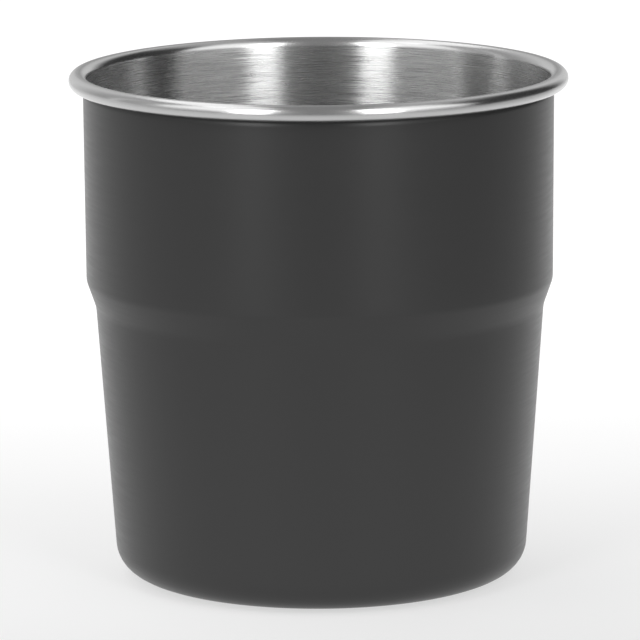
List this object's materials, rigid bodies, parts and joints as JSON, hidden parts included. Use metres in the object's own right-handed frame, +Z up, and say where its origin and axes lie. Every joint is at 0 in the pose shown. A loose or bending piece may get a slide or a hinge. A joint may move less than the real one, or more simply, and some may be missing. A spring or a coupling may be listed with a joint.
{
  "type": "espresso knock box",
  "caption": "Black-coated drawn steel knock box with a rolled steel rim and a stepped wall. A rubber-sleeved knock bar turns in bushes and lifts out of sockets inside.",
  "frame": {"origin": "on the counter, under the middle of the cup", "axes": "+Z up along the cup's axis; +X along the knock bar"},
  "size_m": [0.108, 0.108, 0.1106],
  "materials": {
    "black_coat": "satin black coat on the outside of the drawn cup",
    "brushed_steel": "bare stainless steel, brushed round the axis",
    "black_rubber": "matt black moulded rubber",
    "bush_plastic": "matt black turned acetal"
  },
  "bodies": {
    "box": {"body_shell": "black_coat", "base_pad": "black_rubber", "bar_socket_left": "brushed_steel", "bar_socket_right": "brushed_steel"},
    "bushes": {"bar_bush_left": "bush_plastic", "bar_bush_right": "bush_plastic"},
    "bar": {"bar_rod": "brushed_steel", "bar_sleeve": "black_rubber", "bar_screw_left": "brushed_steel", "bar_screw_right": "brushed_steel"}
  },
  "joints": [
    {"name": "bar_lift", "type": "slide", "parent": "box", "child": "bushes", "axis": [0, 0, 1], "range_m": [0, 0.06]},
    {"name": "bar_roll", "type": "hinge", "parent": "bushes", "child": "bar", "pos_m": [0, 0, 0.0796], "axis": [1, 0, 0], "continuous": true}
  ]
}
